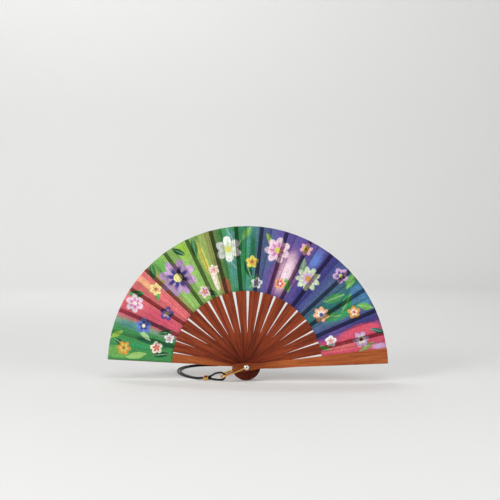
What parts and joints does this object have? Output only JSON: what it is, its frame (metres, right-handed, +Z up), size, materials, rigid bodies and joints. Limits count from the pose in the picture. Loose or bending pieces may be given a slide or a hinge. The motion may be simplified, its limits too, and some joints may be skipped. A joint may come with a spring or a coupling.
{
  "type": "folding hand fan",
  "caption": "Pleated folding hand fan, open: cotton leaf on slim wooden ribs between two guards, rivet, metal bail and a cord wrist loop.",
  "frame": {"origin": "on the rivet's axis, at the middle of the stack of sticks", "axes": "+X to the right and +Z up across the open fan, seen from its printed side; +Y runs along the rivet towards the back guard, so the front guard faces -Y"},
  "size_m": [0.3813, 0.1864, 0.21],
  "materials": {
    "guard_wood": "oiled satin wood, orange-brown, fine straight grain along the stick",
    "rib_wood": "oiled satin wood, red-brown, fine straight grain along the stick",
    "leaf_cotton": null,
    "gold_metal": "polished, gold tone",
    "rivet_metal": "polished nickel",
    "cord_black": "smooth round black cord, satin"
  },
  "bodies": {
    "back_guard": {"back_guard": "guard_wood", "leaf_panel_00": "leaf_cotton", "leaf_fold_00": "leaf_cotton", "rivet": "rivet_metal", "front_washer": "rivet_metal", "back_washer": "rivet_metal"},
    "rib_01": {"rib_01": "rib_wood", "leaf_panel_01": "leaf_cotton", "leaf_fold_01": "leaf_cotton"},
    "rib_02": {"rib_02": "rib_wood", "leaf_panel_02": "leaf_cotton", "leaf_fold_02": "leaf_cotton"},
    "rib_03": {"rib_03": "rib_wood", "leaf_panel_03": "leaf_cotton", "leaf_fold_03": "leaf_cotton"},
    "rib_04": {"rib_04": "rib_wood", "leaf_panel_04": "leaf_cotton", "leaf_fold_04": "leaf_cotton"},
    "rib_05": {"rib_05": "rib_wood", "leaf_panel_05": "leaf_cotton", "leaf_fold_05": "leaf_cotton"},
    "rib_06": {"rib_06": "rib_wood", "leaf_panel_06": "leaf_cotton", "leaf_fold_06": "leaf_cotton"},
    "rib_07": {"rib_07": "rib_wood", "leaf_panel_07": "leaf_cotton", "leaf_fold_07": "leaf_cotton"},
    "rib_08": {"rib_08": "rib_wood", "leaf_panel_08": "leaf_cotton", "leaf_fold_08": "leaf_cotton"},
    "rib_09": {"rib_09": "rib_wood", "leaf_panel_09": "leaf_cotton", "leaf_fold_09": "leaf_cotton"},
    "rib_10": {"rib_10": "rib_wood", "leaf_panel_10": "leaf_cotton", "leaf_fold_10": "leaf_cotton"},
    "rib_11": {"rib_11": "rib_wood", "leaf_panel_11": "leaf_cotton", "leaf_fold_11": "leaf_cotton"},
    "rib_12": {"rib_12": "rib_wood", "leaf_panel_12": "leaf_cotton", "leaf_fold_12": "leaf_cotton"},
    "rib_13": {"rib_13": "rib_wood", "leaf_panel_13": "leaf_cotton", "leaf_fold_13": "leaf_cotton"},
    "rib_14": {"rib_14": "rib_wood", "leaf_panel_14": "leaf_cotton", "leaf_fold_14": "leaf_cotton"},
    "rib_15": {"rib_15": "rib_wood", "leaf_panel_15": "leaf_cotton", "leaf_fold_15": "leaf_cotton"},
    "rib_16": {"rib_16": "rib_wood", "leaf_panel_16": "leaf_cotton", "leaf_fold_16": "leaf_cotton"},
    "front_guard": {"front_guard": "guard_wood"},
    "bail": {"bail": "gold_metal", "cord_bead": "gold_metal", "bail_cord": "cord_black", "wrist_cord": "cord_black"}
  },
  "joints": [
    {"name": "rib_01_hinge", "type": "hinge", "parent": "back_guard", "child": "rib_01", "pos_m": [0, 0, 0], "axis": [0, -1, 0], "range_deg": [0, 9.05], "deforming": ["leaf_fold_00"]},
    {"name": "rib_02_hinge", "type": "hinge", "parent": "rib_01", "child": "rib_02", "pos_m": [0, 0, 0], "axis": [0, -1, 0], "range_deg": [0, 9.25], "deforming": ["leaf_fold_01"]},
    {"name": "rib_03_hinge", "type": "hinge", "parent": "rib_02", "child": "rib_03", "pos_m": [0, 0, 0], "axis": [0, -1, 0], "range_deg": [0, 9.8], "deforming": ["leaf_fold_02"]},
    {"name": "rib_04_hinge", "type": "hinge", "parent": "rib_03", "child": "rib_04", "pos_m": [0, 0, 0], "axis": [0, -1, 0], "range_deg": [0, 10.1], "deforming": ["leaf_fold_03"]},
    {"name": "rib_05_hinge", "type": "hinge", "parent": "rib_04", "child": "rib_05", "pos_m": [0, 0, 0], "axis": [0, -1, 0], "range_deg": [0, 10.35], "deforming": ["leaf_fold_04"]},
    {"name": "rib_06_hinge", "type": "hinge", "parent": "rib_05", "child": "rib_06", "pos_m": [0, 0, 0], "axis": [0, -1, 0], "range_deg": [0, 10.45], "deforming": ["leaf_fold_05"]},
    {"name": "rib_07_hinge", "type": "hinge", "parent": "rib_06", "child": "rib_07", "pos_m": [0, 0, 0], "axis": [0, -1, 0], "range_deg": [0, 10.5], "deforming": ["leaf_fold_06"]},
    {"name": "rib_08_hinge", "type": "hinge", "parent": "rib_07", "child": "rib_08", "pos_m": [0, 0, 0], "axis": [0, -1, 0], "range_deg": [0, 10.75], "deforming": ["leaf_fold_07"]},
    {"name": "rib_09_hinge", "type": "hinge", "parent": "rib_08", "child": "rib_09", "pos_m": [0, 0, 0], "axis": [0, -1, 0], "range_deg": [0, 10.7], "deforming": ["leaf_fold_08"]},
    {"name": "rib_10_hinge", "type": "hinge", "parent": "rib_09", "child": "rib_10", "pos_m": [0, 0, 0], "axis": [0, -1, 0], "range_deg": [0, 10.5], "deforming": ["leaf_fold_09"]},
    {"name": "rib_11_hinge", "type": "hinge", "parent": "rib_10", "child": "rib_11", "pos_m": [0, 0, 0], "axis": [0, -1, 0], "range_deg": [0, 10.3], "deforming": ["leaf_fold_10"]},
    {"name": "rib_12_hinge", "type": "hinge", "parent": "rib_11", "child": "rib_12", "pos_m": [0, 0, 0], "axis": [0, -1, 0], "range_deg": [0, 10.1], "deforming": ["leaf_fold_11"]},
    {"name": "rib_13_hinge", "type": "hinge", "parent": "rib_12", "child": "rib_13", "pos_m": [0, 0, 0], "axis": [0, -1, 0], "range_deg": [0, 9.9], "deforming": ["leaf_fold_12"]},
    {"name": "rib_14_hinge", "type": "hinge", "parent": "rib_13", "child": "rib_14", "pos_m": [0, 0, 0], "axis": [0, -1, 0], "range_deg": [0, 9.65], "deforming": ["leaf_fold_13"]},
    {"name": "rib_15_hinge", "type": "hinge", "parent": "rib_14", "child": "rib_15", "pos_m": [0, 0, 0], "axis": [0, -1, 0], "range_deg": [0, 9.6], "deforming": ["leaf_fold_14"]},
    {"name": "rib_16_hinge", "type": "hinge", "parent": "rib_15", "child": "rib_16", "pos_m": [0, 0, 0], "axis": [0, -1, 0], "range_deg": [0, 9.65], "deforming": ["leaf_fold_15"]},
    {"name": "front_guard_hinge", "type": "hinge", "parent": "rib_16", "child": "front_guard", "pos_m": [0, 0, 0], "axis": [0, -1, 0], "range_deg": [0, 9.33], "deforming": ["leaf_fold_16"]},
    {"name": "bail_hinge", "type": "hinge", "parent": "back_guard", "child": "bail", "pos_m": [0, 0, 0], "axis": [0, -1, 0], "range_deg": [-11, 150]}
  ],
  "couplings": [
    {"joint": "rib_02_hinge", "follows": "rib_01_hinge", "ratio": 1.0221},
    {"joint": "rib_03_hinge", "follows": "rib_01_hinge", "ratio": 1.0829},
    {"joint": "rib_04_hinge", "follows": "rib_01_hinge", "ratio": 1.116},
    {"joint": "rib_05_hinge", "follows": "rib_01_hinge", "ratio": 1.1436},
    {"joint": "rib_06_hinge", "follows": "rib_01_hinge", "ratio": 1.1547},
    {"joint": "rib_07_hinge", "follows": "rib_01_hinge", "ratio": 1.1602},
    {"joint": "rib_08_hinge", "follows": "rib_01_hinge", "ratio": 1.1878},
    {"joint": "rib_09_hinge", "follows": "rib_01_hinge", "ratio": 1.1823},
    {"joint": "rib_10_hinge", "follows": "rib_01_hinge", "ratio": 1.1602},
    {"joint": "rib_11_hinge", "follows": "rib_01_hinge", "ratio": 1.1381},
    {"joint": "rib_12_hinge", "follows": "rib_01_hinge", "ratio": 1.116},
    {"joint": "rib_13_hinge", "follows": "rib_01_hinge", "ratio": 1.0939},
    {"joint": "rib_14_hinge", "follows": "rib_01_hinge", "ratio": 1.0663},
    {"joint": "rib_15_hinge", "follows": "rib_01_hinge", "ratio": 1.0608},
    {"joint": "rib_16_hinge", "follows": "rib_01_hinge", "ratio": 1.0663},
    {"joint": "front_guard_hinge", "follows": "rib_01_hinge", "ratio": 1.0309}
  ]
}
